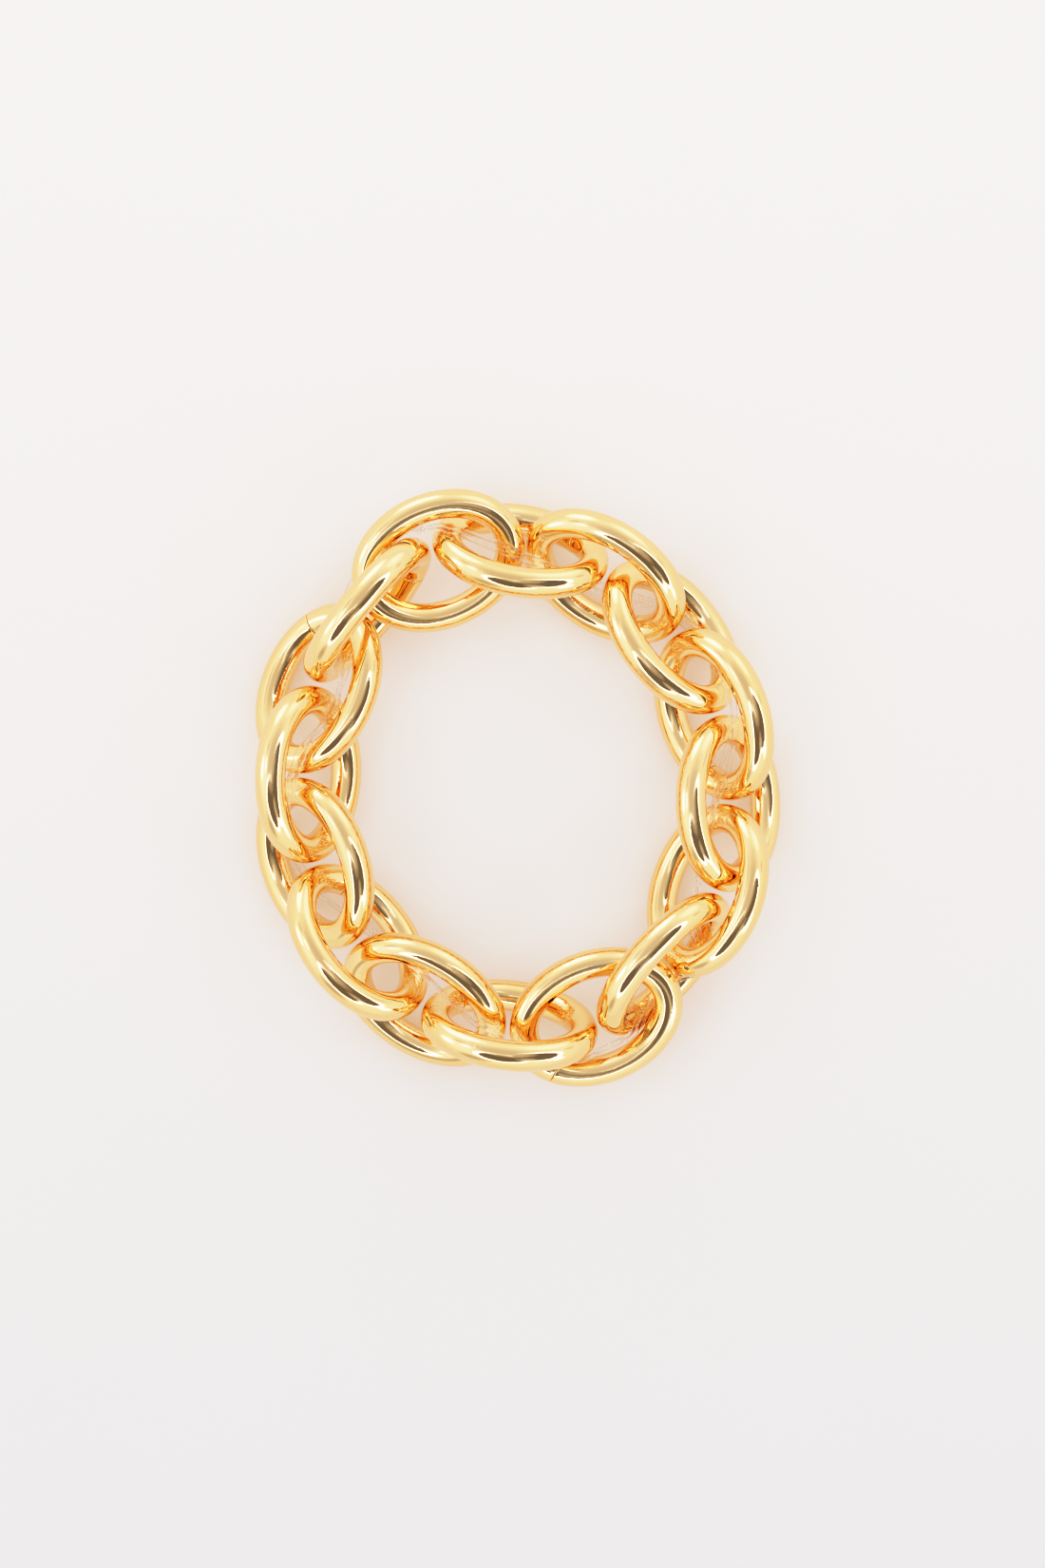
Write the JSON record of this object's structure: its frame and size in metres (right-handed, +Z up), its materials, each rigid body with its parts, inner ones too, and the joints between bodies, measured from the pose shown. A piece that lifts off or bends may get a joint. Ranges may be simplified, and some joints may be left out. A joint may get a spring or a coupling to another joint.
{
  "type": "stretch link bracelet",
  "caption": "Chunky polished gold-coloured oval links, interlocked in a closed ring and strung on clear elastic, so that the bracelet stretches over the hand.",
  "frame": {"origin": "centre of the bounding box, on the table that the bracelet lies on", "axes": "+Z up from the table, along the wearer's forearm; +Y towards link_01, the longer way across the ring; +X across it"},
  "size_m": [0.0906, 0.1022, 0.0237],
  "materials": {
    "gold_plate": "mirror-polished pale gold plating over moulded plastic",
    "clear_elastic": "clear, glossy"
  },
  "bodies": {
    "link_01": {"link_01": "gold_plate", "elastic_cord": "clear_elastic"},
    "link_02": {"link_02": "gold_plate"},
    "link_03": {"link_03": "gold_plate"},
    "link_04": {"link_04": "gold_plate"},
    "link_05": {"link_05": "gold_plate"},
    "link_06": {"link_06": "gold_plate"},
    "link_07": {"link_07": "gold_plate"},
    "link_08": {"link_08": "gold_plate"},
    "link_09": {"link_09": "gold_plate"},
    "link_10": {"link_10": "gold_plate"},
    "link_11": {"link_11": "gold_plate"},
    "link_12": {"link_12": "gold_plate"},
    "link_13": {"link_13": "gold_plate"},
    "link_14": {"link_14": "gold_plate"},
    "link_15": {"link_15": "gold_plate", "cord_knot": "clear_elastic"},
    "link_16": {"link_16": "gold_plate"}
  },
  "joints": [
    {"name": "stretch_03", "type": "slide", "parent": "link_01", "child": "link_03", "axis": [0.8746, -0.4848, 0], "range_m": [0, 0.0025], "stiffness_N_per_m": 800, "springref_m": -0.0005, "deforming": ["elastic_cord"]},
    {"name": "stretch_05", "type": "slide", "parent": "link_03", "child": "link_05", "axis": [0.3338, -0.9426, 0], "range_m": [0, 0.0025]},
    {"name": "stretch_07", "type": "slide", "parent": "link_05", "child": "link_07", "axis": [-0.3584, -0.9336, 0], "range_m": [0, 0.0025]},
    {"name": "stretch_09", "type": "slide", "parent": "link_07", "child": "link_09", "axis": [-0.9336, -0.3584, 0], "range_m": [0, 0.0025]},
    {"name": "stretch_11", "type": "slide", "parent": "link_09", "child": "link_11", "axis": [-0.8746, 0.4848, 0], "range_m": [0, 0.0025]},
    {"name": "stretch_13", "type": "slide", "parent": "link_11", "child": "link_13", "axis": [-0.3338, 0.9426, 0], "range_m": [0, 0.0025]},
    {"name": "stretch_15", "type": "slide", "parent": "link_13", "child": "link_15", "axis": [0.3584, 0.9336, 0], "range_m": [0, 0.0025]},
    {"name": "roll_02", "type": "hinge", "parent": "link_01", "child": "link_02", "pos_m": [0.01489, 0.03637, 0.00938], "axis": [0.8397, -0.5431, 0.0035], "range_deg": [-8, 6]},
    {"name": "roll_04", "type": "hinge", "parent": "link_03", "child": "link_04", "pos_m": [0.03353, 0.01276, 0.00944], "axis": [0.3227, -0.9465, 0], "range_deg": [-14, 18]},
    {"name": "centre_06", "type": "slide", "parent": "link_05", "child": "link_06", "axis": [-0.3584, -0.9336, 0], "range_m": [0, 0.00125]},
    {"name": "roll_08", "type": "hinge", "parent": "link_07", "child": "link_08", "pos_m": [0.01339, -0.039, 0.0104], "axis": [-0.9296, -0.3682, -0.0184], "range_deg": [-2, 14]},
    {"name": "roll_10", "type": "hinge", "parent": "link_09", "child": "link_10", "pos_m": [-0.01604, -0.03614, 0.00873], "axis": [-0.856, 0.5168, 0.0151], "range_deg": [-18, 14]},
    {"name": "roll_12", "type": "hinge", "parent": "link_11", "child": "link_12", "pos_m": [-0.03483, -0.01268, 0.00898], "axis": [-0.3284, 0.9445, 0], "range_deg": [-14, 18]},
    {"name": "centre_14", "type": "slide", "parent": "link_13", "child": "link_14", "axis": [0.3584, 0.9336, 0], "range_m": [0, 0.00125]},
    {"name": "centre_16", "type": "slide", "parent": "link_15", "child": "link_16", "axis": [0.9336, 0.3584, 0], "range_m": [0, 0.00125]}
  ],
  "couplings": [
    {"joint": "stretch_05", "follows": "stretch_03", "ratio": 1},
    {"joint": "stretch_07", "follows": "stretch_03", "ratio": 1},
    {"joint": "stretch_09", "follows": "stretch_03", "ratio": 1},
    {"joint": "stretch_11", "follows": "stretch_03", "ratio": 1},
    {"joint": "stretch_13", "follows": "stretch_03", "ratio": 1},
    {"joint": "stretch_15", "follows": "stretch_03", "ratio": 1},
    {"joint": "centre_06", "follows": "stretch_03", "ratio": 0.5},
    {"joint": "centre_14", "follows": "stretch_03", "ratio": 0.5},
    {"joint": "centre_16", "follows": "stretch_03", "ratio": 0.5}
  ]
}
